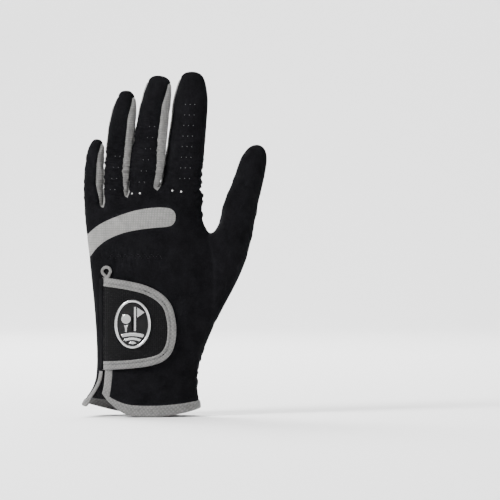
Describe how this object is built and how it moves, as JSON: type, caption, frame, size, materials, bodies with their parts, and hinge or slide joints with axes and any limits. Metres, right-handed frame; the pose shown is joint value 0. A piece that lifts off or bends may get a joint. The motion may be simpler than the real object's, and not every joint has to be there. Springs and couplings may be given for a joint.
{
  "type": "golf glove",
  "caption": "Left-hand golf glove of napped cloth with knit finger forks, bound hem and wrist slit, and a hook-and-loop closure tab with an oval badge.",
  "frame": {"origin": "the middle of the wrist opening, at the lower edge of the hem", "axes": "+Z from the wrist to the fingertips, +Y out of the palm, +X to the thumb side"},
  "size_m": [0.1233, 0.0478, 0.2296],
  "materials": {
    "black_suede": "short-napped synthetic suede, matt",
    "grey_knit": "fine stretch knit, matt",
    "grey_tape": "folded stretch binding tape, matt",
    "elastic_band": "woven elastic",
    "charcoal_mesh": "square-woven carbon-look cloth, slight sheen",
    "hook_and_loop": "hook-and-loop fastener",
    "silvered_plastic": "moulded soft plastic with a silver coat"
  },
  "bodies": {
    "pinky_lower": {"pinky_lower_back": "black_suede", "pinky_lower_fork_thumb": "grey_knit", "pinky_lower_palm": "black_suede"},
    "pinky_upper": {"pinky_upper_back": "black_suede", "pinky_upper_fork_thumb": "grey_knit", "pinky_upper_palm": "black_suede"},
    "ring_lower": {"ring_lower_back": "black_suede", "ring_lower_fork_little": "grey_knit", "ring_lower_fork_thumb": "grey_knit", "ring_lower_palm": "black_suede"},
    "ring_upper": {"ring_upper_back": "black_suede", "ring_upper_fork_little": "grey_knit", "ring_upper_fork_thumb": "grey_knit", "ring_upper_palm": "black_suede"},
    "middle_lower": {"middle_lower_back": "black_suede", "middle_lower_fork_little": "grey_knit", "middle_lower_fork_thumb": "grey_knit", "middle_lower_palm": "black_suede"},
    "middle_upper": {"middle_upper_back": "black_suede", "middle_upper_fork_little": "grey_knit", "middle_upper_fork_thumb": "grey_knit", "middle_upper_palm": "black_suede"},
    "index_lower": {"index_lower_back": "black_suede", "index_lower_fork_little": "grey_knit", "index_lower_palm": "black_suede"},
    "index_upper": {"index_upper_back": "black_suede", "index_upper_fork_little": "grey_knit", "index_upper_palm": "black_suede"},
    "thumb_lower": {"thumb_lower_back": "black_suede", "thumb_lower_palm": "black_suede"},
    "thumb_upper": {"thumb_upper_back": "black_suede", "thumb_upper_palm": "black_suede"},
    "tab": {"badge_motif": "silvered_plastic", "badge_plate": "silvered_plastic", "badge_rim": "silvered_plastic", "hook_patch": "hook_and_loop", "tab_binding": "grey_tape", "tab_face": "charcoal_mesh", "tab_lining": "black_suede"},
    "hand": {"back_elastic": "elastic_band", "back_panel": "black_suede", "hem_binding": "grey_tape", "knuckle_strip": "grey_knit", "loop_patch": "hook_and_loop", "palm_panel": "black_suede", "pull_loop": "grey_tape", "slit_binding_left": "grey_tape", "slit_binding_right": "grey_tape", "tab_anchor": "grey_tape", "thumb_base_back": "black_suede", "thumb_base_palm": "black_suede", "web_middle_index": "grey_knit", "web_pinky_ring": "grey_knit", "web_ring_middle": "grey_knit", "wrist_elastic": "elastic_band"}
  },
  "joints": [
    {"name": "pinky_root_bend", "type": "hinge", "parent": "hand", "child": "pinky_lower", "pos_m": [-0.03779, 0.0064, 0.14293], "axis": [-0.9986, 0.0523, -0.0067], "range_deg": [0, 60]},
    {"name": "pinky_knuckle_bend", "type": "hinge", "parent": "pinky_lower", "child": "pinky_upper", "pos_m": [-0.03755, 0.00701, 0.1578], "axis": [-0.998, 0.0522, 0.035], "range_deg": [0, 80]},
    {"name": "ring_root_bend", "type": "hinge", "parent": "hand", "child": "ring_lower", "pos_m": [-0.02227, 0.00454, 0.15237], "axis": [-0.9964, 0.0523, 0.0668], "range_deg": [0, 60]},
    {"name": "ring_knuckle_bend", "type": "hinge", "parent": "ring_lower", "child": "ring_upper", "pos_m": [-0.02071, 0.00533, 0.17216], "axis": [-0.9949, 0.0522, 0.0862], "range_deg": [0, 80]},
    {"name": "middle_root_bend", "type": "hinge", "parent": "hand", "child": "middle_lower", "pos_m": [-0.00293, 0.00368, 0.15877], "axis": [-0.9842, 0.1045, 0.1432], "range_deg": [0, 60]},
    {"name": "middle_knuckle_bend", "type": "hinge", "parent": "middle_lower", "child": "middle_upper", "pos_m": [0.00011, 0.00444, 0.17944], "axis": [-0.9847, 0.1044, 0.1392], "range_deg": [0, 80]},
    {"name": "index_root_bend", "type": "hinge", "parent": "hand", "child": "index_lower", "pos_m": [0.02209, 0.0056, 0.15884], "axis": [-0.9855, 0.1045, 0.1334], "range_deg": [0, 60]},
    {"name": "index_knuckle_bend", "type": "hinge", "parent": "index_lower", "child": "index_upper", "pos_m": [0.02471, 0.00617, 0.17964], "axis": [-0.9885, 0.1044, 0.109], "range_deg": [0, 80]},
    {"name": "thumb_root_bend", "type": "hinge", "parent": "hand", "child": "thumb_lower", "pos_m": [0.05966, 0.01624, 0.132], "axis": [-0.6359, -0.006, 0.7718], "range_deg": [0, 30]},
    {"name": "thumb_tip_bend", "type": "hinge", "parent": "thumb_lower", "child": "thumb_upper", "pos_m": [0.06694, 0.01819, 0.15714], "axis": [-0.9005, -0.0013, 0.4348], "range_deg": [0, 60]},
    {"name": "tab_lift", "type": "hinge", "parent": "hand", "child": "tab", "pos_m": [-0.0316, -0.01512, 0.0593], "axis": [0, 0, -1], "range_deg": [0, 150]}
  ]
}
